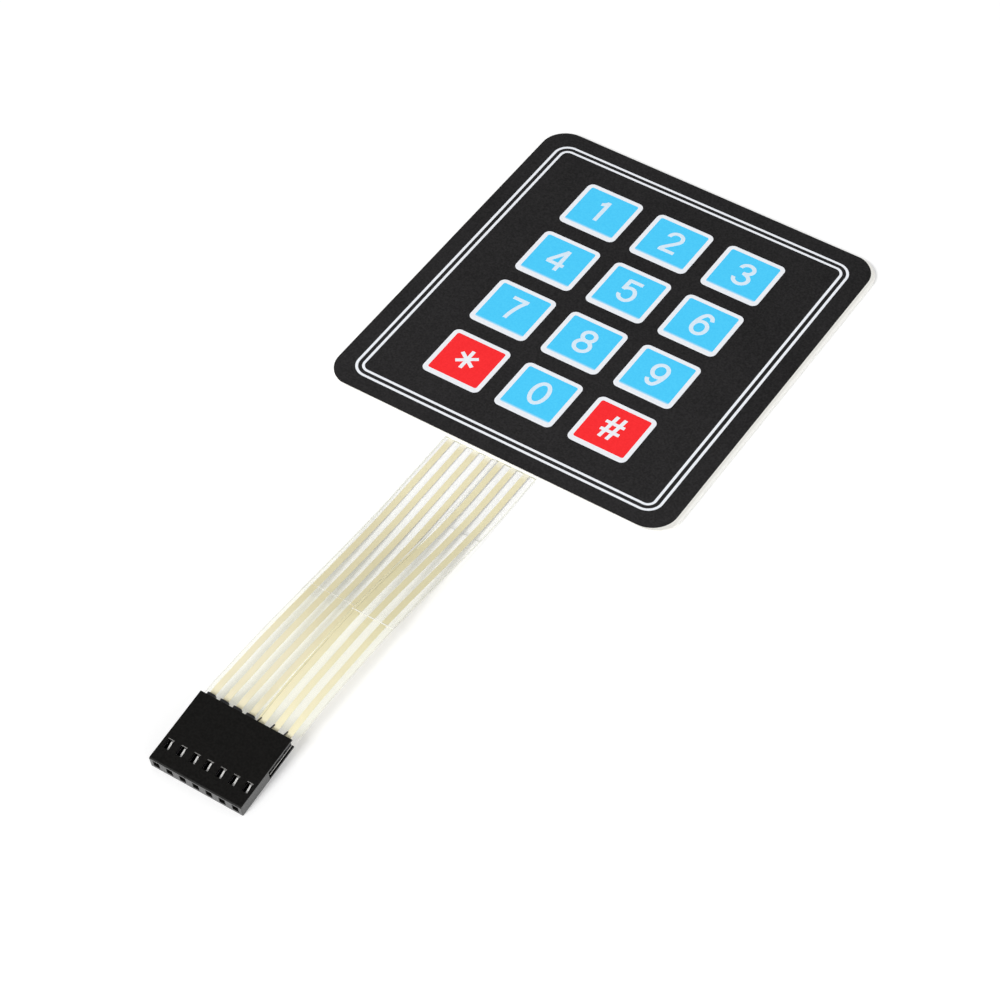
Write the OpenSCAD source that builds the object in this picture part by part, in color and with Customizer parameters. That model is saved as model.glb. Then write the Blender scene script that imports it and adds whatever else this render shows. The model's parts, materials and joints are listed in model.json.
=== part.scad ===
// Membrane keypad: a bonded stack of printed films with a two-strip flat tail and a seven-way socket.
// The origin is the middle of the back face. +X runs along a row of keys, +Y towards the first row
// and +Z out of the printed face. The tail leaves the lower edge, towards -Y. Millimetres.

/* [Pad] */
// Width of the pad, along a row of keys
pad_w = 70; // [68:1:90]
// Height of the pad, along a column of keys
pad_h = 77; // [76:1:100]
// Radius of the pad's corners
pad_r = 5; // [1:0.5:8]

/* [Layers] */
// Thickness of the paper liner over the rear adhesive
liner_t = 0.08; // [0.05:0.01:0.3]
// Thickness of the adhesive that fixes the pad to a panel
rear_glue_t = 0.08; // [0.05:0.01:0.3]
// Thickness of each circuit film
film_t = 0.1; // [0.08:0.005:0.2]
// Thickness of the spacer that holds the two circuits apart
spacer_t = 0.17; // [0.15:0.01:0.4]
// Thickness of the adhesive under the printed face
face_glue_t = 0.05; // [0.02:0.01:0.2]
// Thickness of the printed face film
face_t = 0.22; // [0.15:0.01:0.5]
// Depth of the ink fields in the face
ink_t = 0.05; // [0.02:0.01:0.1]
// Thickness of the printed silver
silver_t = 0.03; // [0.01:0.005:0.05]
// Thickness of the clear cover over the silver in the tail
cover_t = 0.05; // [0.02:0.01:0.1]

/* [Keys] */
// Number of key columns
columns = 3; // [2:1:4]
// Number of key rows
rows = 4; // [2:1:4]
// Distance between key centres, both ways
key_pitch = 15; // [13:0.25:15.5]
// Size of a key over its white border
key_size = 11.8; // [10:0.1:12.8]
// Radius of the border's outer corners
key_r = 1.2; // [0.5:0.1:2]
// Width of the white border at the top and sides of a key
key_border = 0.85; // [0.5:0.05:2]
// Extra width of the white border at the foot of a key
key_foot = 0.25; // [0:0.05:1]
// Radius of the coloured field's corners
field_r = 0.4; // [0.2:0.1:1]

/* [Printed face] */
// How far the print sits to the right of the die-cut outline
print_dx = -0.55; // [-1:0.05:1]
// How far the keys sit above the middle of the die-cut outline
print_dy = 0.3; // [-1:0.05:1]
// How far the double frame line sits above the middle of the keys
frame_dy = -0.3; // [-0.5:0.05:0.5]
// Width of the film left bare along the right edge
bare_side = 0.85; // [0:0.05:1.5]
// Width of the film left bare along the lower edge
bare_foot = 0.1; // [0:0.05:1]
// Distance from the pad's sides to the double frame line
frame_side = 3.8; // [2:0.1:5]
// Distance from the pad's ends to the double frame line
frame_end = 3.3; // [2:0.1:5]
// Width of each frame line
frame_line = 0.5; // [0.3:0.05:0.8]
// Gap between the two frame lines
frame_gap = 0.7; // [0.4:0.05:1]
// Outer radius of the frame's corners
frame_r = 3; // [2.2:0.1:5]

/* [Switches] */
// Diameter of each printed silver contact
dot_d = 8; // [4:0.5:9]
// Clear ring between a contact and its hole in the spacer
hole_gap = 1; // [0.5:0.1:1.5]
// Width of the air channels between the holes
vent_w = 1.2; // [0.5:0.1:2]
// Width of the silver lines inside the pad
line_w = 0.9; // [0.5:0.05:1.2]
// Distance between neighbouring silver lines
line_pitch = 1.7; // [1.5:0.1:1.8]
// Side clearance of the channels over the silver
line_gap = 0.05; // [0.02:0.01:0.1]

/* [Tail] */
// Spacing of the tracks and of the connector's sockets
track_pitch = 2.54; // [2.4:0.02:2.7]
// Width of each track in the tail
track_w = 1.15; // [0.8:0.05:1.2]
// Film from the first track's centre to the tail's edge
row_edge = 1.35; // [1.2:0.05:2]
// Film from the last track's centre to the tail's other edge
column_edge = 1.9; // [1.2:0.05:2.4]
// Width of the cut between the two strips
strip_gap = 0.3; // [0.1:0.05:0.4]
// Distance from the pad to the front of the connector
tail_reach = 83.5; // [78:0.5:110]
// Distance from the pad at which the row strip leaves the table
row_lift = 16; // [8:1:25]
// Distance from the connector's end of the row strip's curve back to its crest
row_crest_back = 6; // [4:0.5:20]
// Height of the row strip's crest
row_crest = 3.05; // [2:0.05:6]
// Distance from the pad at which the column strip leaves the table
column_lift = 8; // [4:1:20]
// Distance from the connector's end of the column strip's curve back to its crest
column_crest_back = 19; // [8:0.5:30]
// Height of the column strip's crest
column_crest = 4.5; // [3:0.1:8]
// Length of the spacer's tongue under the column strip
tongue_l = 17.5; // [10:0.5:30]
// Distance from the pad to the end of the clear covers
cover_end = 43; // [34:0.5:48]

/* [Connector] */
// Length of the housing, from its mating face to its rear
housing_l = 14; // [13:0.1:18]
// Thickness of the housing
housing_t = 2.5; // [2.4:0.05:4]
// Housing beyond the outer sockets' centres
housing_end = 1.27; // [1.1:0.01:1.5]
// Bevel of the mating face's upper edge
housing_bevel = 0.2; // [0.1:0.05:0.4]
// Tilt of the housing, nose down
tilt = 9; // [2:0.5:14]
// Thickness of the housing's top and bottom walls
wall = 0.4; // [0.3:0.05:0.5]
// Length of the slot that takes the film, open at the rear and both ends
slot_l = 6.6; // [6:0.1:7]
// How far a wide film stands out of the slot's ends, where it is notched
film_proud = 0.15; // [0.05:0.05:0.4]
// Width of each pin entry
entry_w = 1.15; // [0.8:0.05:1.4]
// Height of each pin entry
entry_h = 1.4; // [0.8:0.05:1.6]
// Depth of each pin entry
entry_l = 1; // [0.6:0.1:1.4]
// Width of each contact's cavity
cavity_w = 1.9; // [1.7:0.05:2]
// Width of each window over a contact
window_w = 1.2; // [0.8:0.05:1.4]
// Length of each window
window_l = 1.7; // [1:0.1:2.4]
// Distance from the mating face to a window's middle
window_at = 3.5; // [3:0.1:4.4]

/* [Contacts] */
// Thickness of the contact's metal
metal_t = 0.2; // [0.12:0.01:0.25]
// Clearance between the contact and what it sits in
contact_gap = 0.03; // [0.01:0.01:0.05]
// Height of the contact's spring box
box_h = 1.4; // [1:0.05:1.5]
// Width of the square pin that the contact takes
pin_w = 0.64; // [0.5:0.01:0.7]
// Width of the leaf spring over the pin
spring_w = 0.3; // [0.2:0.05:0.8]
// How far the pin pushes the spring up
spring_push = 0.3; // [0.05:0.01:0.4]
// Width of the crimp barrel
barrel_w = 1.65; // [1.62:0.01:1.9]
// Height of a crimp folded over a row's track
barrel_h = 0.5; // [0.4:0.05:0.7]
// Radius of the rounded shoulders of such a crimp
barrel_r = 0.4; // [0.1:0.05:0.4]
// Height of a seat under a column's track
seat_h = 0.85; // [0.5:0.05:0.9]
// Number of crimp tines along a barrel
tines = 3; // [2:1:3]
// Length of each tine
tine_l = 1.4; // [1:0.1:1.6]
// Distance between tines
tine_pitch = 2.1; // [1.8:0.1:2.2]
// How far a row's last tine stands out behind the housing
tine_out = 0.9; // [0.5:0.1:1.6]
// How far a column's last tine stops short of the housing's rear
tine_in = 0.1; // [0.05:0.05:0.3]
// How far the folded ear of a column's tine stands out behind the housing
ear_out = 1.1; // [0.5:0.1:1.6]
// How far that ear leans in towards its track
ear_lean = 0.25; // [0:0.05:0.4]
// Straight run of film behind the last tine
straight_l = 0.3; // [0.2:0.1:1]

/* [Hidden] */
$fn = 48;
tracks = rows + columns;

// Heights of the layers, from the back face up
rear_glue_z = liner_t;
lower_z = rear_glue_z + rear_glue_t;
spacer_z = lower_z + film_t;
upper_z = spacer_z + spacer_t;
face_glue_z = upper_z + film_t;
face_z = face_glue_z + face_glue_t;
top_z = face_z + face_t;

// Overlap that keeps a cut clear of the face it starts from
cut = 0.5;
// How far a strip's root runs in under the pad, as part of its film
root = 2;

// Columns and rows that carry the two red keys
red_row = rows;
red_columns = [1, columns];

// Centre of a key, counted from the first row and the first column
function key_x(column) = (column - (columns + 1) / 2) * key_pitch;
function key_y(row) = ((rows + 1) / 2 - row) * key_pitch;

// Centre of a track in the tail and of its socket: rows first, then columns
function track_x(i) = (i - (tracks + 1) / 2) * track_pitch;
slit_x = (track_x(rows) + track_x(rows + 1)) / 2;
row_x = [track_x(1) - row_edge, slit_x - strip_gap / 2];
column_x = [slit_x + strip_gap / 2, track_x(tracks) + column_edge];

// Ends of the connector's housing
housing_x = [track_x(1) - housing_end, track_x(tracks) + housing_end];

// The connector's own frame: u runs from its mating face to its rear, v up from its underside
front_y = -pad_h / 2 - tail_reach;
contact_v = wall + contact_gap;
base_v = contact_v + metal_t + contact_gap;
row_film_v = base_v;
column_film_v = base_v + seat_h + silver_t + contact_gap;
film_end_u = housing_l - slot_l + contact_gap;
function tine_u(k, is_row) = housing_l + (is_row ? tine_out : -tine_in) - tine_l - k * tine_pitch;
joint_u = housing_l + max(tine_out, ear_out) + straight_l;

// Where a point of the connector's own frame lies across the table
function out_y(u, v) = front_y + u * cos(tilt) - v * sin(tilt);
function out_z(u, v) = u * sin(tilt) + v * cos(tilt);

// Distance from the pad of a point of the connector's own frame
function out_d(u, v) = -pad_h / 2 - out_y(u, v);

// A strip is [height in the pad, lift, crest distance, crest height, height in the connector]
row_crest_at = out_d(joint_u, row_film_v) - row_crest_back;
column_crest_at = out_d(joint_u, column_film_v) - column_crest_back;
row_strip = [lower_z, row_lift, row_crest_at, row_crest, row_film_v];
column_strip = [upper_z, column_lift, column_crest_at, column_crest, column_film_v];

// Distances from the pad at which a strip becomes straight, to enter the connector, and ends there
function joint_d(s) = out_d(joint_u, s[4]);
function film_end_d(s) = out_d(film_end_u, s[4]);

// Cubic between two heights, with the slope at its far end given
function ease(t, z0, z1, end_rise) =
    z0 + (3 * t ^ 2 - 2 * t ^ 3) * (z1 - z0) + (t ^ 3 - t ^ 2) * end_rise;
function ease_rate(t, z0, z1, end_rise) =
    6 * (t - t ^ 2) * (z1 - z0) + (3 * t ^ 2 - 2 * t) * end_rise;

// Height of a strip's underside, and its slope, at a distance from the pad
function lift_t(s, d) = max(0, (d - s[1]) / (s[2] - s[1]));
function fall_l(s) = joint_d(s) - s[2];
function strip_z(s, d) = d <= s[2]
    ? ease(lift_t(s, d), s[0], s[3], 0)
    : ease((d - s[2]) / fall_l(s), s[3], out_z(joint_u, s[4]), -tan(tilt) * fall_l(s));
function strip_slope(s, d) = d <= s[2]
    ? ease_rate(lift_t(s, d), s[0], s[3], 0) / (s[2] - s[1])
    : ease_rate((d - s[2]) / fall_l(s), s[3], out_z(joint_u, s[4]), -tan(tilt) * fall_l(s)) / fall_l(s);

// Distances of a strip's bends from the pad: its root, its curve and its end in the connector
bends = 30;
function strip_d(s) = concat(
    [-root],
    [for (k = [0:bends]) s[1] + (joint_d(s) - s[1]) * k / bends],
    [film_end_d(s)]
);

// A strip's bend k, moved out square to the film by a distance
function bend(s, k, out) =
    let (d = strip_d(s)[k], last = k == bends + 2)
    let (z = last ? out_z(film_end_u, s[4]) : strip_z(s, d))
    let (angle = atan(last ? -tan(tilt) : strip_slope(s, d)))
    [-pad_h / 2 - d - out * -sin(angle), z + out * cos(angle)];

// The same at any distance, on the straight between two bends
function between(s, d, out) =
    let (list = strip_d(s))
    let (k = max([for (i = [0:bends + 1]) if (list[i] <= d) i]))
    let (t = (d - list[k]) / (list[k + 1] - list[k]))
    (1 - t) * bend(s, k, out) + t * bend(s, k + 1, out);
function edge(s, d0, d1, out) = concat(
    [between(s, d0, out)],
    [for (k = [0:bends + 2]) if (strip_d(s)[k] > d0 && strip_d(s)[k] < d1) bend(s, k, out)],
    [between(s, d1, out)]
);

// A layer of a strip from distance d0 to d1, between two heights over the film's underside
module strip_layer(s, d0, d1, low, high, x0, x1) {
    under = edge(s, d0, d1, low);
    over = edge(s, d0, d1, high);
    translate([x0, 0, 0])
        rotate([90, 0, 90])
            linear_extrude(x1 - x0)
                polygon(concat(under, [for (k = [len(over) - 1:-1:0]) over[k]]));
}

// Places a shape drawn in the connector's own frame
module in_connector() {
    translate([0, front_y, 0])
        rotate([tilt, 0, 0])
            children();
}

// A box between two corners
module block(low, high) {
    translate(low)
        cube(high - low);
}

// A rectangle with round corners, about its centre
module rounded(w, h, r) {
    square([w - 2 * r, h], center = true);
    square([w, h - 2 * r], center = true);
    for (x = [-1, 1], y = [-1, 1])
        translate([x * (w / 2 - r), y * (h / 2 - r)])
            circle(r);
}

// A straight line of a printed circuit, with square ends
module line(a, b, w) {
    low = [min(a.x, b.x) - w / 2, min(a.y, b.y) - w / 2];
    high = [max(a.x, b.x) + w / 2, max(a.y, b.y) + w / 2];
    translate(low)
        square(high - low);
}

module pad_outline() {
    rounded(pad_w, pad_h, pad_r);
}

module sheet(z, t) {
    translate([0, 0, z])
        linear_extrude(t)
            pad_outline();
}

// Places one copy of a shape at each key, with the row and the column known to it
module at_key(row, column) {
    translate([key_x(column), key_y(row)])
        children();
}

// The printed circuit of one row, as seen from above: contacts, bus and run to the tail
module row_circuit(row, grow) {
    w = line_w + 2 * grow;
    bus_x = key_x(1) - dot_d / 2 - hole_gap - (rows - row + 1) * line_pitch;
    run_y = key_y(rows) - dot_d / 2 - hole_gap - (rows - row + 1) * line_pitch;
    exit_y = -pad_h / 2;
    for (column = [1:columns])
        at_key(row, column)
            circle(d = dot_d + 2 * grow);
    line([key_x(columns), key_y(row)], [bus_x, key_y(row)], w);
    line([bus_x, key_y(row)], [bus_x, run_y], w);
    line([bus_x, run_y], [track_x(row), run_y], w);
    translate([track_x(row), (run_y + exit_y) / 2])
        square([track_w + 2 * grow, run_y - exit_y + w], center = true);
}

// The printed circuit of one column: contacts in line and a run to the tail
module column_circuit(column, grow) {
    w = line_w + 2 * grow;
    x = track_x(rows + column);
    inner = column == 1 ? 2 : 1;
    run_y = key_y(rows) - dot_d / 2 - hole_gap - inner * line_pitch;
    exit_y = -pad_h / 2;
    for (row = [1:rows])
        at_key(row, column)
            circle(d = dot_d + 2 * grow);
    line([key_x(column), key_y(1)], [key_x(column), run_y], w);
    line([key_x(column), run_y], [x, run_y], w);
    translate([x, (run_y + exit_y) / 2])
        square([track_w + 2 * grow, run_y - exit_y + w], center = true);
}

// The slits in a film's end that the crimp tines pass through
module tine_slits(first, last) {
    for (i = [first:last], k = [0:tines - 1], side = [-1, 1])
        translate([track_x(i) + side * (barrel_w - metal_t) / 2, tine_u(k, i <= rows) + tine_l / 2, 0])
            cube([metal_t + 2 * contact_gap, tine_l + 2 * contact_gap, 2 * housing_t], center = true);
}

module release_liner() {
    color("ivory")
        sheet(0, liner_t);
}

module rear_adhesive() {
    color("wheat")
        sheet(rear_glue_z, rear_glue_t);
}

module lower_circuit() {
    color("honeydew")
        difference() {
            union() {
                sheet(lower_z, film_t);
                strip_layer(row_strip, -root, film_end_d(row_strip), 0, film_t, row_x[0], row_x[1]);
            }
            in_connector()
                translate([0, 0, row_film_v])
                    tine_slits(1, rows);
        }
}

module row_track(row) {
    x = track_x(row);
    color("darkkhaki") {
        translate([0, 0, spacer_z])
            linear_extrude(silver_t)
                row_circuit(row, 0);
        strip_layer(row_strip, -root, film_end_d(row_strip), film_t, film_t + silver_t,
            x - track_w / 2, x + track_w / 2);
    }
}

module row_tail_cover() {
    color("mintcream")
        difference() {
            strip_layer(row_strip, 0, cover_end, film_t, film_t + silver_t + cover_t, row_x[0], row_x[1]);
            for (i = [1:rows])
                strip_layer(row_strip, -root, cover_end + cut, 0, film_t + silver_t,
                    track_x(i) - track_w / 2 - line_gap, track_x(i) + track_w / 2 + line_gap);
        }
}

module spacer() {
    hole_d = dot_d + 2 * hole_gap;
    color("aliceblue")
        difference() {
            union() {
                sheet(spacer_z, spacer_t);
                strip_layer(column_strip, -root, tongue_l, -spacer_t, 0, column_x[0], column_x[1]);
            }
            translate([0, 0, spacer_z - cut])
                linear_extrude(spacer_t + 2 * cut)
                    for (column = [1:columns]) {
                        for (row = [1:rows])
                            at_key(row, column)
                                circle(d = hole_d);
                        line([key_x(column), key_y(1)], [key_x(column), key_y(rows)], vent_w);
                    }
            translate([0, 0, spacer_z - cut])
                linear_extrude(cut + silver_t)
                    for (row = [1:rows])
                        row_circuit(row, line_gap);
            translate([0, 0, upper_z - silver_t])
                linear_extrude(silver_t + cut)
                    for (column = [1:columns])
                        column_circuit(column, line_gap);
            for (i = [rows + 1:tracks])
                strip_layer(column_strip, -root, tongue_l + cut, -silver_t, film_t,
                    track_x(i) - track_w / 2 - line_gap, track_x(i) + track_w / 2 + line_gap);
        }
}

module column_track(column) {
    x = track_x(rows + column);
    color("darkkhaki") {
        translate([0, 0, upper_z - silver_t])
            linear_extrude(silver_t)
                column_circuit(column, 0);
        strip_layer(column_strip, -root, film_end_d(column_strip), -silver_t, 0,
            x - track_w / 2, x + track_w / 2);
    }
}

module column_tail_cover() {
    low = -silver_t - cover_t;
    color("mintcream")
        difference() {
            strip_layer(column_strip, tongue_l, cover_end, low, 0, column_x[0], column_x[1]);
            for (i = [rows + 1:tracks])
                strip_layer(column_strip, tongue_l - cut, cover_end + cut, -silver_t, film_t,
                    track_x(i) - track_w / 2 - line_gap, track_x(i) + track_w / 2 + line_gap);
        }
}

module upper_circuit() {
    color("honeydew")
        difference() {
            union() {
                sheet(upper_z, film_t);
                strip_layer(column_strip, -root, film_end_d(column_strip), 0, film_t,
                    column_x[0], column_x[1]);
            }
            in_connector() {
                translate([0, 0, column_film_v])
                    tine_slits(rows + 1, tracks);
                block([housing_x[1] + film_proud, 0, 0],
                    [column_x[1] + cut, housing_l + film_proud, 2 * housing_t]);
            }
        }
}

module overlay_adhesive() {
    color("wheat")
        sheet(face_glue_z, face_glue_t);
}

// The black field: the pad's outline printed out of register and cut at the pad's edge
module black_field() {
    intersection() {
        pad_outline();
        translate([-bare_side, bare_foot])
            pad_outline();
    }
}

module frame_lines() {
    w = pad_w - 2 * frame_side;
    h = pad_h - 2 * frame_end;
    for (inset = [0, frame_line + frame_gap])
        translate([0, frame_dy])
            difference() {
                rounded(w - 2 * inset, h - 2 * inset, frame_r - inset);
                rounded(w - 2 * inset - 2 * frame_line, h - 2 * inset - 2 * frame_line,
                    frame_r - inset - frame_line);
            }
}

module key_field() {
    translate([0, key_foot / 2])
        rounded(key_size - 2 * key_border, key_size - 2 * key_border - key_foot, field_r);
}

module keys() {
    for (row = [1:rows], column = [1:columns])
        at_key(row, column)
            rounded(key_size, key_size, key_r);
}

// The coloured fields of the red keys, or of all the others
module key_fields(red) {
    for (row = [1:rows], column = [1:columns]) {
        is_red = row == red_row && len(search(column, red_columns)) > 0;
        if (is_red == red)
            at_key(row, column)
                key_field();
    }
}

// A flush field of ink at the top of the face, in register with the rest of the print
module ink() {
    translate([print_dx, print_dy, top_z - ink_t])
        linear_extrude(ink_t)
            children();
}

module face_overlay() {
    color("ivory")
        difference() {
            sheet(face_z, face_t);
            translate([0, 0, top_z - ink_t])
                linear_extrude(ink_t + cut)
                    black_field();
        }
}

module black_print() {
    color([0.14, 0.14, 0.14])
        translate([0, 0, top_z - ink_t])
            linear_extrude(ink_t)
                difference() {
                    black_field();
                    translate([print_dx, print_dy]) {
                        frame_lines();
                        keys();
                    }
                }
}

module white_print() {
    color("whitesmoke")
        ink() {
            frame_lines();
            difference() {
                keys();
                key_fields(true);
                key_fields(false);
            }
        }
}

module blue_print() {
    color([0.3, 0.79, 0.98])
        ink()
            key_fields(false);
}

module red_print() {
    color([0.97, 0.2, 0.21])
        ink()
            key_fields(true);
}

// The moulding: pin entries at the front, windowed cavities behind them, and a film slot at the rear
module connector_housing() {
    side = [
        [0, 0], [housing_l, 0], [housing_l, housing_t],
        [housing_bevel, housing_t], [0, housing_t - housing_bevel]
    ];
    slot_u = housing_l - slot_l;
    mid_v = housing_t / 2;
    color([0.12, 0.12, 0.11])
        in_connector()
            difference() {
                translate([housing_x[0], 0, 0])
                    rotate([90, 0, 90])
                        linear_extrude(housing_x[1] - housing_x[0])
                            polygon(side);
                block([housing_x[0] - cut, slot_u, wall],
                    [housing_x[1] + cut, housing_l + cut, housing_t - wall]);
                for (i = [1:tracks])
                    translate([track_x(i), 0, 0]) {
                        block([-entry_w / 2, -cut, mid_v - entry_h / 2],
                            [entry_w / 2, entry_l + cut, mid_v + entry_h / 2]);
                        block([-cavity_w / 2, entry_l, wall], [cavity_w / 2, slot_u + cut, housing_t - wall]);
                        block([-window_w / 2, window_at - window_l / 2, housing_t / 2],
                            [window_w / 2, window_at + window_l / 2, housing_t + cut]);
                    }
            }
}

// The round-backed fold of the tines over a track
module crimp_fold(v) {
    translate([0, tine_l, v])
        rotate([90, 0, 0])
            linear_extrude(tine_l)
                intersection() {
                    rounded(barrel_w, 2 * barrel_h, barrel_r);
                    translate([-barrel_w / 2, 0])
                        square([barrel_w, barrel_h]);
                }
}

// The leaf that presses a pin down, from the rear of the spring box to its front
module leaf_spring(box_u, top_v) {
    bend_u = window_at + window_l / 2;
    nip_u = window_at - window_l / 4;
    nip_v = (housing_t + pin_w) / 2 - spring_push + metal_t;
    upper = [[box_u[1], top_v], [bend_u, top_v], [nip_u, nip_v], [box_u[0] + metal_t, top_v]];
    lower = [for (k = [len(upper) - 1:-1:0]) upper[k] - [0, metal_t]];
    translate([-spring_w / 2, 0, 0])
        rotate([90, 0, 90])
            linear_extrude(spring_w)
                polygon(concat(upper, lower));
    block([-spring_w / 2, nip_u - metal_t, contact_v],
        [spring_w / 2, nip_u + metal_t, (housing_t - pin_w) / 2]);
}

// The thin ear of a column's tine, folded back along the film
module ear(u, v) {
    x = -barrel_w / 2;
    end_u = housing_l + ear_out;
    translate([0, 0, v])
        linear_extrude(metal_t / 2)
            polygon([
                [x, u], [x + metal_t, u], [x + metal_t, u + tine_l],
                [x + metal_t + ear_lean, end_u], [x + ear_lean, end_u], [x, u + tine_l]
            ]);
}

// A stamped contact: a box with a leaf spring for the pin, and crimp tines through the film
module contact(i) {
    is_row = i <= rows;
    film_v = is_row ? row_film_v : column_film_v;
    box_w = cavity_w - 2 * contact_gap;
    box_u = [entry_l + contact_gap, housing_l - slot_l - contact_gap];
    last_u = tine_u(0, is_row);
    floor_v = contact_v + metal_t;
    top_v = contact_v + box_h;
    over_v = film_v + film_t + (is_row ? silver_t : 0) + contact_gap;
    tine_top = over_v + (is_row ? barrel_h - barrel_r : metal_t / 2);
    color("silver")
        in_connector()
            translate([track_x(i), 0, 0]) {
                block([-box_w / 2, box_u[0], contact_v], [box_w / 2, box_u[1], floor_v]);
                for (x = [-box_w / 2, box_w / 2 - metal_t])
                    block([x, box_u[0], contact_v], [x + metal_t, box_u[1], top_v]);
                block([-box_w / 2, box_u[1] - 2 * metal_t, top_v - metal_t], [box_w / 2, box_u[1], top_v]);
                leaf_spring(box_u, top_v);
                block([-barrel_w / 2, box_u[1] - cut, contact_v], [barrel_w / 2, last_u + tine_l, floor_v]);
                for (k = [0:tines - 1])
                    translate([0, tine_u(k, is_row), 0]) {
                        if (is_row)
                            crimp_fold(over_v);
                        else
                            block([-barrel_w / 2, 0, floor_v], [barrel_w / 2, tine_l, floor_v + seat_h]);
                        for (x = [-barrel_w / 2, barrel_w / 2 - metal_t])
                            block([x, 0, contact_v], [x + metal_t, tine_l, tine_top]);
                    }
                if (!is_row)
                    ear(last_u, over_v);
            }
}

release_liner();
rear_adhesive();
lower_circuit();
for (i = [1:rows])
    row_track(i);
row_tail_cover();
spacer();
for (i = [1:columns])
    column_track(i);
column_tail_cover();
upper_circuit();
overlay_adhesive();
face_overlay();
black_print();
white_print();
blue_print();
red_print();
connector_housing();
for (i = [1:tracks])
    contact(i);
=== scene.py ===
"""Looks of a membrane keypad: a printed pad of bonded films, its two-strip tail and its socket."""

import json
import math

import bpy
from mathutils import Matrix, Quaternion, Vector


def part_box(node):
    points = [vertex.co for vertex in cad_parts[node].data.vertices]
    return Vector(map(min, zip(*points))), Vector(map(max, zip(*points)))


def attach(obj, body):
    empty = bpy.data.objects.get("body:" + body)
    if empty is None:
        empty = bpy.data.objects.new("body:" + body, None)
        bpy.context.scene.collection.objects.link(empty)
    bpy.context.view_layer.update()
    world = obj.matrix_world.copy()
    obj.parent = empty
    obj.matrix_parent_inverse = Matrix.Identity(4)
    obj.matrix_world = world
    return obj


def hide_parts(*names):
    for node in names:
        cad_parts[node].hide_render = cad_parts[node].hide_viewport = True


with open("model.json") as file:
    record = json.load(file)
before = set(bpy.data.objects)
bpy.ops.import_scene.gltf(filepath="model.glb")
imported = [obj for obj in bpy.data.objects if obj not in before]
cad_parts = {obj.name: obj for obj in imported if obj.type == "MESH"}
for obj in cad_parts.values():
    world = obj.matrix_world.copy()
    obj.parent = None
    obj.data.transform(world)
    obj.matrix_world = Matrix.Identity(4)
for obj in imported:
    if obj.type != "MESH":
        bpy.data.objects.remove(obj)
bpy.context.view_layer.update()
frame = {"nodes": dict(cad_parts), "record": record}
nodes = frame["nodes"]

# Camera
# It stands beyond the tail, to its right, and looks down on the pad from about arm's length.
# A long lens keeps the pad's sides close to parallel.
MM = 0.001
camera_place = Vector((189.12, -328.9, 383.01)) * MM
camera_aim = Vector((6.72, -45.73, 0)) * MM
camera_roll = math.radians(0.26)
camera_lens = 108.76
camera_sensor = 36

bpy.ops.object.camera_add(location=camera_place)
camera = bpy.context.object
camera.data.lens = camera_lens
camera.data.sensor_width = camera_sensor
camera.rotation_mode = "QUATERNION"
level = (camera_aim - camera_place).to_track_quat("-Z", "Y")
camera.rotation_quaternion = level @ Quaternion((0, 0, 1), camera_roll)
bpy.context.scene.camera = camera

# Release liner
# A sheet of siliconised paper that covers the pad's back until it is stuck down.
# It is peeled off by hand, and its cut edge shows a little fibre.
liner_colour = (0.91, 0.9, 0.86, 1)
liner_fibre = (0.96, 0.95, 0.92, 1)
liner_rough = [0.5, 0.7]
liner_shine = 0.3
fibre_size = 0.9 * MM
fibre_relief = 0.01 * MM


class Wire:
    """A socket in a node tree, so that shader sums are written as plain expressions."""

    def __init__(self, tree, socket=None):
        self.tree = tree
        self.socket = socket

    def node(self, kind, settings=None, inputs=None, output=0):
        """Adds a node: its settings first, then the values or wires of its inputs."""
        made = self.tree.nodes.new("ShaderNode" + kind)
        for name, value in (settings or {}).items():
            setattr(made, name, value)
        for name, value in (inputs or {}).items():
            connect(self.tree, made.inputs[name], value)
        return Wire(self.tree, made.outputs[output])

    def maths(self, operation, left, right=0):
        return self.node("Math", {"operation": operation}, {0: left, 1: right})

    def __add__(self, other):
        return self.maths("ADD", self, other)

    def __sub__(self, other):
        return self.maths("SUBTRACT", self, other)

    def __rsub__(self, other):
        return self.maths("SUBTRACT", other, self)

    def __mul__(self, other):
        return self.maths("MULTIPLY", self, other)

    def __abs__(self):
        return self.maths("ABSOLUTE", self)

    __radd__ = __add__
    __rmul__ = __mul__

    def greater(self, other):
        return self.maths("MAXIMUM", self, other)

    def wrap(self, low, high):
        """Repeats from low to high, again and again."""
        return self.node("Math", {"operation": "WRAP"}, {0: self, 1: high, 2: low})

    def along(self, axis):
        return self.node("SeparateXYZ", inputs={0: self}, output=axis)

    def fade(self, start, end):
        """Rises smoothly from 0 at start to 1 at end, and stays flat beyond them."""
        settings = {"interpolation_type": "SMOOTHSTEP"}
        return self.node("MapRange", settings, {"Value": self, "From Min": start, "From Max": end})

    def between(self, low, high):
        """The number low where this wire is 0, and high where it is 1."""
        return low + self * (high - low)

    def tint(self, low, high):
        """The colour low where this wire is 0, and high where it is 1."""
        return self.node("Mix", {"data_type": "RGBA"}, {0: self, 6: low, 7: high}, output=2)

    def noise(self, size, detail):
        inputs = {"Vector": self, "Scale": 1 / size, "Detail": detail}
        return self.node("TexNoise", inputs=inputs)

    def bump(self, depth):
        """A normal that follows this wire as a height, depth metres from 0 to 1."""
        return self.node("Bump", inputs={"Distance": depth, "Height": self})


def connect(tree, socket, value):
    """Links a wire to a socket, or sets the socket to a value."""
    if isinstance(value, Wire):
        tree.links.new(value.socket, socket)
    else:
        socket.default_value = value


def new_finish(name):
    """A material, and the wire of the place on its piece, in metres."""
    material = bpy.data.materials.new(name)
    material.use_nodes = True
    place = Wire(material.node_tree).node("TexCoord", output="Object")
    return material, place


def surface(material, sockets):
    """Sets the shader's own sockets to values or wires."""
    shader = material.node_tree.nodes["Principled BSDF"]
    for name, value in sockets.items():
        connect(material.node_tree, shader.inputs[name], value)


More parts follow.
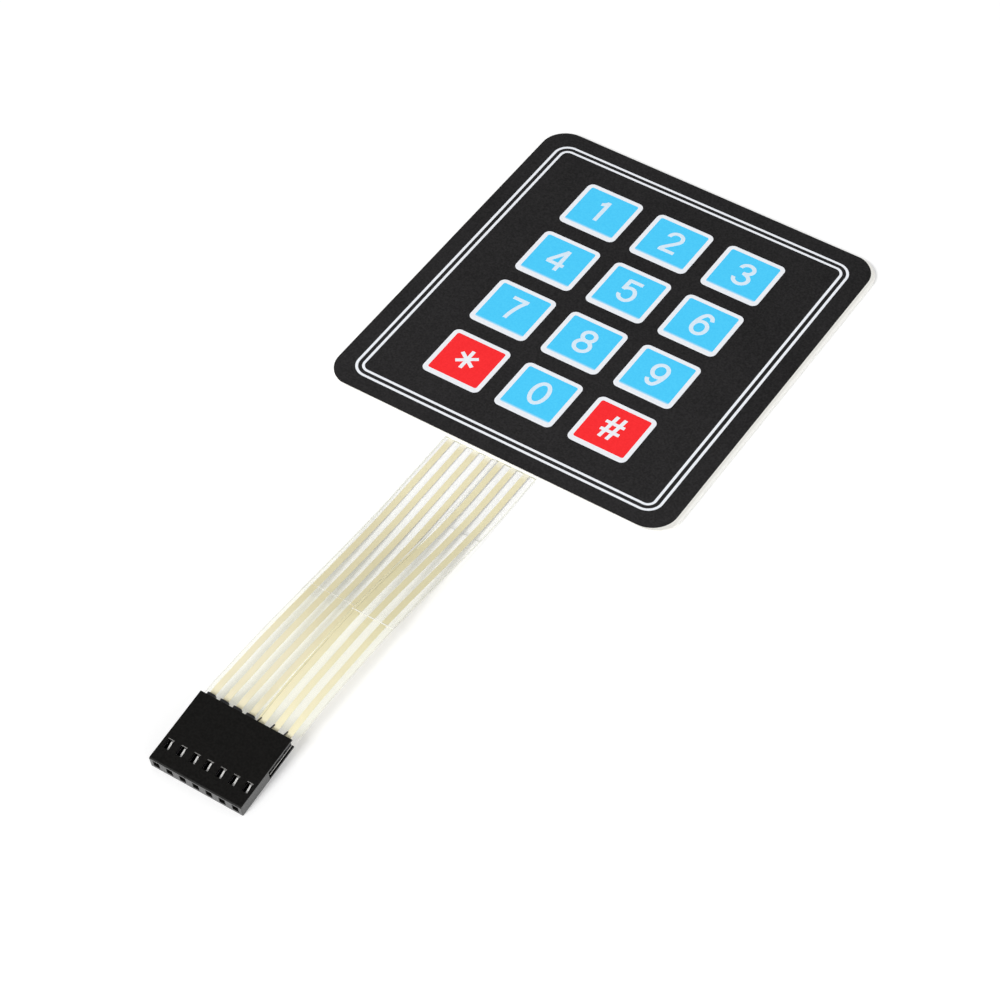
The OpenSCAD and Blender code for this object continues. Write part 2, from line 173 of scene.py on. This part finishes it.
def dress(piece, material):
    """Gives a piece one finish all over."""
    if not piece.material_slots:
        piece.data.materials.append(material)
    piece.material_slots[0].material = material


liner_paper, place = new_finish("liner_paper")
fibre = place.noise(fibre_size, detail=6)
surface(liner_paper, {
    "Base Color": fibre.tint(liner_colour, liner_fibre),
    "Roughness": fibre.between(*liner_rough),
    "Specular IOR Level": liner_shine,
    "Normal": fibre.bump(fibre_relief),
})
dress(nodes["release_liner"], liner_paper)

# Adhesive layers
# Acrylic transfer tape, one layer behind the circuits and one under the printed face.
# Only its cut edge shows, as a faintly yellow line that has picked up a little dust.
tape_colour = (0.95, 0.94, 0.88, 1)
tape_dust = (0.9, 0.89, 0.83, 1)
tape_rough = [0.35, 0.65]
tape_shine = 0.4
dust_size = 1.4 * MM
dust_range = [0.45, 0.75]

adhesive, place = new_finish("adhesive")
dust = place.noise(dust_size, detail=4).fade(*dust_range)
surface(adhesive, {
    "Base Color": dust.tint(tape_colour, tape_dust),
    "Roughness": dust.between(*tape_rough),
    "Specular IOR Level": tape_shine,
})
for name in ("rear_adhesive", "overlay_adhesive"):
    dress(nodes[name], adhesive)

# Circuit films and spacer
# Clear polyester, die-cut: the two circuits run out of the pad as the tail's strips, and the spacer between
# them ends in a short tongue. The film is slightly hazy; its haze is painted thinner near the pad and in
# the socket, a painted light and shade on what is seen through it, and a dark line painted along the tail's
# outer sides stands for the shadow and refraction at the film's cut edges. In the pad and a quarter
# millimetre beyond its foot the film is painted opaque and pale, a painted light over the shade at the
# tail's root, and in the socket its cut edges are painted bright, a painted highlight in the dark slot.
film_colour = (0.93, 0.94, 0.6, 1)
film_edge = (0.97, 0.95, 0.86, 1)
pad_edge = (0.95, 0.94, 0.9, 1)
film_alpha = 0.09
spacer_alpha = 0.02
edge_alpha = 0.25
film_rough = [0.12, 0.27]
film_ior = 1.57
cut_facing = [0.4, 0.9]
haze_size = 6 * MM
haze_range = [0.6, 1.4]
haze_loss = 0.8
pad_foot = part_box("face_overlay")[0].y
# Painted light: the film is opaque and pale in the pad and a little beyond its foot, over the shade at the
# tail's root.
root_show = 0.25 * MM
root_soft = 0.2 * MM
# Painted light and shade: the haze is painted thinner over the 50 mm before the pad's foot, so the gaps
# between the tracks look lighter near the pad and greyer further out.
painted_haze_from = pad_foot - 50 * MM
tail_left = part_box("row_tail_cover")[0].x
tail_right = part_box("column_tail_cover")[1].x
tail_middle = (tail_left + tail_right) / 2
tail_half = (tail_right - tail_left) / 2
# A dark line painted along the tail's outer sides, a painted shade for the shadow and refraction at the
# film's cut edges.
rim_w = 0.3 * MM
rim_full = 0.09 * MM
rim_shade_alpha = 0.15
rim_shade_colour = (0.72, 0.72, 0.55, 1)
# In the socket the film is painted pale and its cut edges opaque, a painted highlight in the dark slot.
socket_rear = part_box("connector_housing")[1].y
socket_soft = 1.5 * MM


def clear_film(name, alpha):
    """A clear film with slight haze, denser where a cut edge is seen, with painted light and shade: pale at
    the pad, bright cut edges in the socket, dark lines along the tail's sides and less haze near the pad.
    """
    material, place = new_finish(name)
    y = place.along("Y")
    normal = place.node("NewGeometry", output="Normal")
    cut = abs(normal.along("X")).fade(*cut_facing)
    haze = place.noise(haze_size, detail=3)
    # Painted light: opaque and pale in the pad and a quarter millimetre beyond its foot.
    in_pad = y.fade(pad_foot - root_show - root_soft, pad_foot - root_show)
    # Painted highlight: the cut edges in the socket are shown opaque and pale.
    in_socket = 1 - y.fade(socket_rear, socket_rear + socket_soft)
    shown = in_pad.greater(in_socket * cut)
    # Painted light and shade: less haze near the pad and in the socket, full haze further out.
    painted_haze = 1 - y.fade(painted_haze_from, pad_foot).greater(in_socket) * haze_loss
    # Painted shade: the dark line along the tail's outer sides, left out in the socket.
    rim = abs(place.along("X") - tail_middle).fade(tail_half - rim_w, tail_half - rim_full)
    hazy = alpha * painted_haze * haze.between(*haze_range) + rim * rim_shade_alpha * (1 - in_socket)
    clear = hazy * (1 - cut) + cut * edge_alpha
    # Painted highlight: the film in the socket is painted pale; the dark line along the sides is painted in
    # here too.
    plain = in_socket.tint(rim.tint(film_colour, rim_shade_colour), pad_edge)
    surface(material, {
        "Base Color": shown.tint(cut.tint(plain, film_edge), pad_edge),
        "Roughness": haze.between(*film_rough),
        "Alpha": clear.greater(shown),
        "IOR": film_ior,
    })
    return material


lower_film = clear_film("lower_film", film_alpha)
upper_film = clear_film("upper_film", film_alpha)
spacer_film = clear_film("spacer_film", spacer_alpha)
dress(nodes["lower_circuit"], lower_film)
dress(nodes["upper_circuit"], upper_film)
dress(nodes["spacer"], spacer_film)

# Tail covers
# Thinner clear film, bonded over the silver and stopping short of the connector.
# A fine cream line is painted on the upper film at the upper cover's end, a painted glint on the film's
# step, and a fainter painted glint across the lower cover 2.2 mm short of its end.
# Beside the slit the upper strip's edge is painted pale, a painted highlight on its cut edge, and painted
# in the silver's tone where it arches over the lower strip, a painted tone that covers the shadow seen
# there.
cover_alpha = 0.02
line_core = 0.075 * MM
line_edge = 0.225 * MM
# The cream of the painted glints.
glint_colour = (1, 0.99, 0.92, 1)
row_cover_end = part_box("row_tail_cover")[0].y
column_cover_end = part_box("column_tail_cover")[0].y
# A painted glint at the upper cover's end, and a fainter one 2.2 mm short of the lower cover's end.
step_glint_show = 0.85
lower_glint_short = 2.2 * MM
lower_glint_show = 0.3
slit_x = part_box("column_tail_cover")[0].x
# A pale painted highlight on the upper strip's cut edge beside the slit.
slit_in = 0.12 * MM
slit_glint_show = 0.6
slit_reach = [-73 * MM, -64 * MM]
# A line painted in the silver's tone on the upper strip's margin, a painted tone that covers the shadow
# seen through it.
margin_in = 0.38 * MM
margin_show = 0.8
margin_reach = [-60 * MM, -66 * MM]
margin_painted_tone = (0.84, 0.765, 0.5, 1)


def painted_line(film, axis, at, show, reach=None, colour=glint_colour):
    """Paints a fine line on a film, across an axis, and fading in along Y if a reach is given: a painted
    glint, or in another colour a painted tone over shade.
    """
    tree = film.node_tree
    shader = tree.nodes["Principled BSDF"]
    place = Wire(tree).node("TexCoord", output="Object")
    clear = Wire(tree, shader.inputs["Alpha"].links[0].from_socket)
    plain = Wire(tree, shader.inputs["Base Color"].links[0].from_socket)
    line = 1 - abs(place.along(axis) - at).fade(line_core, line_edge)
    if reach:
        line = line * place.along("Y").fade(*reach)
    dense = line * show
    surface(film, {
        "Base Color": line.tint(plain, colour),
        "Alpha": clear * (1 - dense) + dense,
    })


row_cover = clear_film("row_cover", cover_alpha)
column_cover = clear_film("column_cover", cover_alpha)
# Painted glints at the covers' ends, then the painted highlight and the painted tone beside the slit.
painted_line(row_cover, "Y", row_cover_end + lower_glint_short, lower_glint_show)
painted_line(upper_film, "Y", column_cover_end, step_glint_show)
painted_line(upper_film, "X", slit_x + slit_in, slit_glint_show, slit_reach)
painted_line(upper_film, "X", slit_x + margin_in, margin_show, margin_reach, margin_painted_tone)
dress(nodes["row_tail_cover"], row_cover)
dress(nodes["column_tail_cover"], column_cover)

# Silver tracks
# Silver ink, screen printed on the films and dried to a warm satin beige.
# Its colour is painted paler at the pad's foot and on the bare ink beyond the covers, a painted light and
# sheen, and darker where the strips arch, a painted shade.
# Each line is drawn a few thousandths of a millimetre full, to stand just proud of its film.
track_colour = (0.915, 0.85, 0.575, 1)
track_dark = (0.84, 0.765, 0.5, 1)
# Beyond the covers the bare ink is painted paler, a painted sheen.
track_bare_sheen = (0.95, 0.88, 0.63, 1)
# Painted shade where the strips arch.
track_arch_shade = (0.72, 0.65, 0.42, 1)
# Painted light: the ink is painted paler over the last 2 mm before the pad's foot.
track_root_light = (0.97, 0.94, 0.8, 1)
track_rough = [0.5, 0.7]
track_metal = 0.15
track_shine = 0.35
track_full = 0.005 * MM
same_point = 0.001 * MM
smooth_angle = math.radians(20)
ink_grain = 0.25 * MM
ink_drift = 9 * MM
ink_relief = 0.006 * MM
middle_range = [0.3, 0.7]
bare_full = row_cover_end - 15 * MM
arch_start = [-88 * MM, -77 * MM]
arch_end = [-64 * MM, -48 * MM]
arch_shade_share = 0.4
# Where the painted light at the pad's foot fades in.
root_light_range = [pad_foot - 2 * MM, pad_foot - 0.2 * MM]

silver_ink, place = new_finish("silver_ink")
y = place.along("Y")
grain = place.noise(ink_grain, detail=3)
drift = place.noise(ink_drift, detail=2)
printed = ((grain + drift) * 0.5).fade(*middle_range).tint(track_dark, track_colour)
# Painted sheen: paler on the bare ink beyond the covers.
bare = y.fade(bare_full, row_cover_end).tint(track_bare_sheen, printed)
# Painted shade: darker where the strips arch.
arch = y.fade(*arch_start) * (1 - y.fade(*arch_end)) * arch_shade_share
surface(silver_ink, {
    "Base Color": y.fade(*root_light_range).tint(arch.tint(bare, track_arch_shade), track_root_light),
    "Roughness": grain.between(*track_rough),
    "Metallic": track_metal,
    "Specular IOR Level": track_shine,
    "Normal": grain.bump(ink_relief),
})


def add_piece(name, data):
    """A new piece in the scene, and the only one selected."""
    piece = bpy.data.objects.new(name, data)
    bpy.context.scene.collection.objects.link(piece)
    bpy.ops.object.select_all(action="DESELECT")
    bpy.context.view_layer.objects.active = piece
    piece.select_set(True)
    return piece


def merged_copy(piece_name, name):
    """A new piece with a CAD node's mesh, its loose triangles merged."""
    piece = add_piece(piece_name, nodes[name].data.copy())
    bpy.ops.object.mode_set(mode="EDIT")
    bpy.ops.mesh.select_all(action="SELECT")
    bpy.ops.mesh.remove_doubles(threshold=same_point)
    bpy.ops.object.mode_set(mode="OBJECT")
    return piece


tracks = [name for name in nodes if "track" in name]
for name in tracks:
    track = merged_copy(name.replace("track", "silver"), name)
    full = track.modifiers.new("full", "DISPLACE")
    full.strength = track_full
    full.mid_level = 0
    bpy.ops.object.modifier_apply(modifier=full.name)
    bpy.ops.object.shade_smooth_by_angle(angle=smooth_angle)
    dress(track, silver_ink)
    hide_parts(name)
    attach(track, "root")

# Face film
# The pad's front: matte polyester with a fine outer texture, die-cut and bonded over the circuits.
# It is left bare along the right and lower edges, where the print stops short of the cut.
# Towards the cut at the right it turns white.
face_colour = (0.84, 0.83, 0.79, 1)
face_colour_low = (0.76, 0.75, 0.71, 1)
face_edge = (0.98, 0.97, 0.93, 1)
face_edge_w = 0.5 * MM
face_rough = 0.6
face_shine = 0.2
texture_size = 0.32 * MM
texture_depth = 0.012 * MM
mottle_range = [0.25, 0.75]


def face_grain(place):
    """The face's fine texture, as a mottle from 0 to 1 and as a normal."""
    texture = place.noise(texture_size, detail=3)
    return texture.fade(*mottle_range), texture.bump(texture_depth)


def face_surface(material, colour, normal):
    """The matte face over a colour."""
    surface(material, {
        "Base Color": colour,
        "Roughness": face_rough,
        "Specular IOR Level": face_shine,
        "Normal": normal,
    })


face_film, place = new_finish("face_film")
mottle, normal = face_grain(place)
cut_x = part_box("face_overlay")[1].x
near_cut = place.along("X").fade(cut_x - face_edge_w, cut_x)
bare_film = mottle.tint(face_colour_low, face_colour)
face_surface(face_film, near_cut.tint(bare_film, face_edge), normal)
dress(nodes["face_overlay"], face_film)

# Black ink
# The ground of the print, screened over the whole face around the frame lines and the keys.
# It is a soft charcoal with a fine grain that varies a little over the face, and is painted paler towards
# its foot, a painted sheen.
black_low = (0.002, 0.0018, 0.002, 1)
black_high = (0.0245, 0.023, 0.024, 1)
cloud_size = 14 * MM
# The ink is painted paler towards the face's foot, a painted sheen.
foot_sheen_range = [-36 * MM, 20 * MM]
mottle_share = 0.6
cloud_share = 0.12
foot_sheen_share = 0.2

black_ink, place = new_finish("black_ink")
mottle, normal = face_grain(place)
cloud = place.noise(cloud_size, detail=2).fade(*middle_range)
# Painted sheen: paler towards the foot, mixed with the ink's own grain and cloud.
foot = 1 - place.along("Y").fade(*foot_sheen_range)
grain_and_sheen = mottle * mottle_share + cloud * cloud_share + foot * foot_sheen_share
face_surface(black_ink, grain_and_sheen.tint(black_low, black_high), normal)
dress(nodes["black_print"], black_ink)

# White ink
# The double frame line and the border of each key, screened in the gaps of the black.
# It looks faintly blue under the matte film.
white_low = (0.82, 0.85, 0.9, 1)
white_high = (0.9, 0.92, 0.96, 1)


def plain_ink(name, low, high):
    """An even ink, which only the face's texture mottles from a low tone to a high one."""
    material, place = new_finish(name)
    mottle, normal = face_grain(place)
    face_surface(material, mottle.tint(low, high), normal)
    return material


white_ink = plain_ink("white_ink", white_low, white_high)
dress(nodes["white_print"], white_ink)

# Blue ink
# The fields of the number keys, screened inside the white borders.
# The blue fades softly into the white towards each key's foot.
key_pitch = 15 * MM
foot_range = [-0.1 * MM, 0.5 * MM]
foot_white = 0.55
blue_low = (0.06, 0.59, 0.97, 1)
blue_high = (0.076, 0.64, 1, 1)

blue_ink, place = new_finish("blue_ink")
mottle, normal = face_grain(place)
blue_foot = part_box("blue_print")[0].y
above_foot = (place.along("Y") - blue_foot).wrap(0, key_pitch)
towards_white = (1 - above_foot.fade(*foot_range)) * foot_white
face_surface(blue_ink, towards_white.tint(mottle.tint(blue_low, blue_high), white_high), normal)
dress(nodes["blue_print"], blue_ink)

# Red ink
# The fields of the star and hash keys, screened inside the white borders like the blue.
# It is a dense ink, crisp at every edge.
red_low = (0.94, 0.017, 0.022, 1)
red_high = (1, 0.025, 0.03, 1)

red_ink = plain_ink("red_ink", red_low, red_high)
dress(nodes["red_print"], red_ink)

# Legends
# The numerals, the star and the hash, printed in white on each key, with some blue showing through.
# Each is drawn with a flat pen: a stroke is a list of points about the key's centre, in millimetres,
# each with the direction in which the pen passes it.
pen_w = 0.78 * MM
sign_pen_w = 0.7 * MM
pen_steps = 12
legend_wide = 0.92
legend_high = 0.965
legend_shift = Vector((-0.07, -0.18, 0)) * MM
legend_t = 0.03 * MM
legend_sink = 0.01 * MM
show_low = (0.66, 0.81, 0.93, 1)
show_high = (0.73, 0.87, 0.97, 1)

legend_rows = ["123", "456", "789", "*0#"]
middle_row = (len(legend_rows) - 1) / 2
middle_column = (len(legend_rows[0]) - 1) / 2
legend_names = {"*": "star", "#": "hash"}
straight = (0, 0)


def bar(x0, y0, x1, y1):
    """A straight stroke from one point to another."""
    return [(x0, y0, *straight), (x1, y1, *straight)]


def loop(x, y, rx, ry, round_x=0.56, round_y=0.56):
    """A closed oval, with its four points and how far the pen runs straight through each."""
    kx = rx * round_x
    ky = ry * round_y
    start = (x, y + ry, kx, 0)
    return [start, (x + rx, y, 0, -ky), (x, y - ry, -kx, 0), (x - rx, y, 0, ky), start]


six = [
    loop(0.12, -0.6, 1.48, 1.66),
    [(-1.36, -0.5, 0, 1.3), (0.2, 3.02, 0.85, 0), (1.5, 1.85, 0.12, -0.6)],
]
turn_x = 0.05
turn_y = 0.42
nine = [[(2 * turn_x - x, 2 * turn_y - y, -dx, -dy) for x, y, dx, dy in stroke] for stroke in six]

legend_strokes = {
    "1": [
        [(-1.2, 2.2, 0.75, 0.02), (0.02, 3.2, 0.05, 0.4)],
        bar(0.08, 3.32, 0.0, -2.42),
    ],
    "2": [
        [(-1.32, 1.6, 0, 0.85), (0.12, 3.0, 0.8, 0), (1.52, 1.6, 0, -0.95), (-1.3, -2.2, -0.1, -1.0)],
        bar(-1.63, -2.08, 1.85, -2.08),
    ],
    "3": [
        [(-1.3, 1.75, 0, 0.75), (0.1, 3.0, 0.75, 0), (1.45, 1.85, 0, -0.65), (0.2, 0.66, -0.5, 0),
         (-0.3, 0.66, -0.1, 0)],
        [(-0.05, 0.58, 0.6, 0), (1.68, -0.82, 0, -0.8), (0.1, -2.26, -0.8, 0), (-1.38, -0.95, 0, 0.7)],
    ],
    "4": [
        bar(0.85, 3.2, -1.78, -0.72),
        bar(-1.95, -0.78, 1.92, -0.78),
        bar(0.83, 3.32, 0.83, -2.5),
    ],
    "5": [
        bar(-1.4, 3.0, 1.62, 3.0),
        bar(-1.2, 3.2, -1.38, 0.4),
        [(-1.38, 0.55, 0.35, 0.4), (0.1, 1.25, 0.8, 0), (1.48, -0.45, 0, -0.9), (0.05, -2.18, -0.85, 0),
         (-1.48, -0.9, 0, 0.65)],
    ],
    "6": six,
    "7": [
        bar(-1.62, 2.98, 1.8, 2.98),
        [(1.5, 2.95, -0.85, -1.05), (-0.2, -2.44, 0.0, -1.6)],
    ],
    "8": [loop(0.09, 1.84, 1.32, 1.21), loop(0.09, -0.79, 1.58, 1.42)],
    "9": nine,
    "0": [loop(0.06, 0.42, 1.58, 2.6, 0.52, 0.58)],
    "*": [
        bar(0.02, 2.7, 0.02, -2.08),
        bar(-1.84, 1.52, 1.88, -0.9),
        bar(-1.84, -0.9, 1.88, 1.52),
    ],
    "#": [
        bar(-0.5, 3.22, -1.22, -2.6),
        bar(1.2, 3.22, 0.42, -2.6),
        bar(-2.05, 1.3, 2.05, 1.3),
        bar(-2.05, -0.68, 2.05, -0.68),
    ],
}


def draw_legend(name, strokes, centre, width):
    """Sweeps a flat pen along each stroke and unites the strokes into one raised print."""
    pen = bpy.data.curves.new("pen", "CURVE")
    tip = pen.splines.new("POLY")
    corners = [(-1, -1), (1, -1), (1, 1), (-1, 1)]
    tip.points.add(len(corners) - 1)
    for point, (x, y) in zip(tip.points, corners):
        point.co = (x * width / 2, y * legend_t / 2, 0, 1)
    tip.use_cyclic_u = True
    pen_object = bpy.data.objects.new("pen", pen)
    curve = bpy.data.curves.new(name, "CURVE")
    curve.dimensions = "3D"
    curve.twist_mode = "Z_UP"
    curve.resolution_u = pen_steps
    curve.bevel_mode = "OBJECT"
    curve.bevel_object = pen_object
    curve.use_fill_caps = True
    for stroke in strokes:
        path = curve.splines.new("BEZIER")
        closed = len(stroke) > 2 and stroke[0] == stroke[-1]
        points = stroke[:-1] if closed else stroke
        path.bezier_points.add(len(points) - 1)
        path.use_cyclic_u = closed
        for point, (x, y, dx, dy) in zip(path.bezier_points, points):
            point.co = centre + Vector((x * legend_wide, y * legend_high, 0)) * MM
            reach = Vector((dx * legend_wide, dy * legend_high, 0)) * MM
            point.handle_left_type = "FREE"
            point.handle_right_type = "FREE"
            point.handle_left = point.co - reach
            point.handle_right = point.co + reach
    add_piece(name, curve)
    bpy.ops.object.convert(target="MESH")
    piece = bpy.context.object
    bpy.ops.object.mode_set(mode="EDIT")
    bpy.ops.mesh.select_all(action="SELECT")
    bpy.ops.mesh.remove_doubles(threshold=same_point)
    bpy.ops.mesh.normals_make_consistent(inside=False)
    bpy.ops.mesh.intersect_boolean(operation="UNION", use_self=True, solver="EXACT")
    bpy.ops.object.mode_set(mode="OBJECT")
    bpy.ops.object.shade_flat()
    bpy.data.objects.remove(pen_object)
    return piece


number_ink = plain_ink("number_ink", show_low, show_high)
sign_ink = plain_ink("sign_ink", white_low, white_high)

fields_low, fields_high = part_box("blue_print")
legend_centre = (fields_low + fields_high) / 2 + legend_shift
legend_centre.z = fields_high.z + legend_t / 2 - legend_sink
for row, signs in enumerate(legend_rows):
    for column, sign in enumerate(signs):
        key = Vector((column - middle_column, middle_row - row, 0)) * key_pitch
        name = "legend_" + legend_names.get(sign, sign)
        width = sign_pen_w if sign in legend_names else pen_w
        legend = draw_legend(name, legend_strokes[sign], legend_centre + key, width)
        dress(legend, sign_ink if sign in legend_names else number_ink)
        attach(legend, "root")

# Connector housing
# A black nylon moulding with seven pin entries in its nose and a window over each contact.
# Its edges are broken by a small mould radius. Its top is satin, with a pale line painted along the rear
# edge of each window, a painted highlight, and its nose and sides are polished.
mould_radius = 0.07 * MM
mould_steps = 2
flat_angle = math.radians(0.5)
sharp_angle = math.radians(35)
nylon_low = (0.003, 0.0028, 0.0025, 1)
nylon_high = (0.007, 0.0066, 0.006, 1)
nylon_rough = [0.38, 0.58]
nylon_shine = 0.12
nylon_grain = 0.35 * MM
nylon_relief = 0.008 * MM
top_facing = [0.4, 0.8]
side_gloss = 1.41
side_rough = 0.2
# A pale line painted along the rear edge of each window, a painted highlight.
window_glint_colour = (0.17, 0.165, 0.16, 1)
window_glint_back = 4.42 * MM
window_glint_range = [0.04 * MM, 0.1 * MM]
window_glint_ends = [0.527 * MM, 0.62 * MM]
pin_pitch = 2.54 * MM

housing = merged_copy("housing_moulding", "connector_housing")
bpy.ops.object.mode_set(mode="EDIT")
bpy.ops.mesh.dissolve_limited(angle_limit=flat_angle)
bpy.ops.object.mode_set(mode="OBJECT")
broken = housing.modifiers.new("mould_radius", "BEVEL")
broken.width = mould_radius
broken.segments = mould_steps
broken.limit_method = "ANGLE"
broken.angle_limit = sharp_angle
bpy.ops.object.modifier_apply(modifier=broken.name)
bpy.ops.object.shade_flat()

nylon, place = new_finish("nylon")
grain = place.noise(nylon_grain, detail=4)
normal = place.node("NewGeometry", output="Normal")
top = abs(normal.along("Z")).fade(*top_facing)
socket = next(mount for mount in frame["record"]["mounts"] if mount["name"] == "socket_row")
nose_y, nose_z = socket["pos_m"][1:]
out_y, out_z = socket["axis"][1:]
behind_nose = (nose_y - place.along("Y")) * out_y + (nose_z - place.along("Z")) * out_z
from_pin = abs(place.along("X").wrap(-pin_pitch / 2, pin_pitch / 2))
behind_window = 1 - abs(behind_nose - window_glint_back).fade(*window_glint_range)
# Painted highlight: the pale line at each window's rear edge, on top faces only.
window_glint = top * behind_window * (1 - from_pin.fade(*window_glint_ends))
black_nylon = grain.fade(*middle_range).tint(nylon_low, nylon_high)
surface(nylon, {
    "Base Color": window_glint.tint(black_nylon, window_glint_colour),
    "Roughness": grain.between(*nylon_rough),
    "Specular IOR Level": nylon_shine,
    "Coat Weight": 1 - top,
    "Coat IOR": side_gloss,
    "Coat Roughness": side_rough,
    "Normal": grain.bump(nylon_relief),
})
dress(housing, nylon)
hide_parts("connector_housing")
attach(housing, "root")

# Contacts
# Stamped from tinned bronze strip and pushed into the housing: each leaf spring shines in its window.
# The metal deeper down is painted dark, a painted shade, and the crimps round the film's end are given a
# darker, rougher metal.
tin_bright = (0.98, 0.97, 0.95, 1)
# The metal below the leaf spring's top is painted dark, a painted shade in the housing's cavities.
tin_painted_shade = (0.05, 0.05, 0.05, 1)
# The crimps are given a darker, rougher metal.
tin_crimp_dark = (0.07, 0.07, 0.075, 1)
tin_rough = [0.28, 0.43]
crimp_rough = 0.15
draw_line = 0.12 * MM
draw_relief = 0.004 * MM
housing_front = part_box("connector_housing")[0].y
crimp_from = housing_front + 9 * MM
crimp_full = housing_front + 11 * MM
leaf_range = [0.05 * MM, 0.25 * MM]

tinned, place = new_finish("tinned_metal")
streak = place.noise(draw_line, detail=2)
crimp = place.along("Y").fade(crimp_from, crimp_full)
over_middle = (place.along("Y") - nose_y) * out_z - (place.along("Z") - nose_z) * out_y
# Painted shade: dark below this height, bright above.
leaf = over_middle.fade(*leaf_range)
surface(tinned, {
    "Base Color": crimp.tint(leaf.tint(tin_painted_shade, tin_bright), tin_crimp_dark),
    "Roughness": streak.between(*tin_rough) + crimp * crimp_rough,
    "Metallic": 1.0,
    "Normal": streak.bump(draw_relief),
})
for name, node in nodes.items():
    if name.startswith("contact_"):
        dress(node, tinned)

# Floor and light
# A white table in a room that is white at eye level and dim overhead.
# One soft lamp stands above and before the tail, and a weaker one low at the right fills the edges.
floor_size = 4
floor_drop = 0.005 * MM
floor_colour = (0.8, 0.8, 0.8, 1)
floor_rough = 0.9
floor_lift = 0.28
white_light = (1, 1, 1, 1)
dim_range = [0.1, 0.7]
overhead = 0.35
lamp_at = Vector((0, -45, 0)) * MM
lamp_far = 3.3
lamp_w = 1.2
lamp_ways = {
    "key_lamp": (Vector((-0.08, -1.15, 1.0)), 80),
    "fill_lamp": (Vector((0.85, -0.45, 0.35)), 18),
}


def seen_ray(wire):
    """1 for rays that show the surround itself: straight to the camera, mirrored or let through."""
    camera_ray = wire.node("LightPath", output="Is Camera Ray")
    glossy_ray = wire.node("LightPath", output="Is Glossy Ray")
    through_ray = wire.node("LightPath", output="Is Transmission Ray")
    return wire.maths("MINIMUM", camera_ray + glossy_ray + through_ray, 1)


bpy.ops.mesh.primitive_plane_add(size=floor_size, location=(0, 0, -floor_drop))
floor = bpy.context.object
floor.name = "floor"
table, place = new_finish("table")
surface(table, {
    "Base Color": floor_colour,
    "Roughness": floor_rough,
    "Specular IOR Level": 0.0,
    "Emission Color": white_light,
    "Emission Strength": seen_ray(place) * floor_lift,
})
dress(floor, table)

for name, (lamp_way, lamp_power) in lamp_ways.items():
    bpy.ops.object.light_add(type="AREA", location=lamp_at + lamp_way.normalized() * lamp_far)
    lamp = bpy.context.object
    lamp.name = name
    lamp.rotation_euler = (-lamp_way).to_track_quat("-Z", "Y").to_euler()
    lamp.data.shape = "DISK"
    lamp.data.size = lamp_w
    lamp.data.energy = lamp_power

world = bpy.data.worlds.new("surround")
bpy.context.scene.world = world
world.use_nodes = True
background = world.node_tree.nodes["Background"]
height = Wire(world.node_tree).node("TexCoord", output="Generated").along("Z")
bright = height.fade(*dim_range).between(1, overhead)
connect(world.node_tree, background.inputs["Color"], white_light)
connect(world.node_tree, background.inputs["Strength"], bright)
bpy.context.scene.view_settings.view_transform = "Standard"
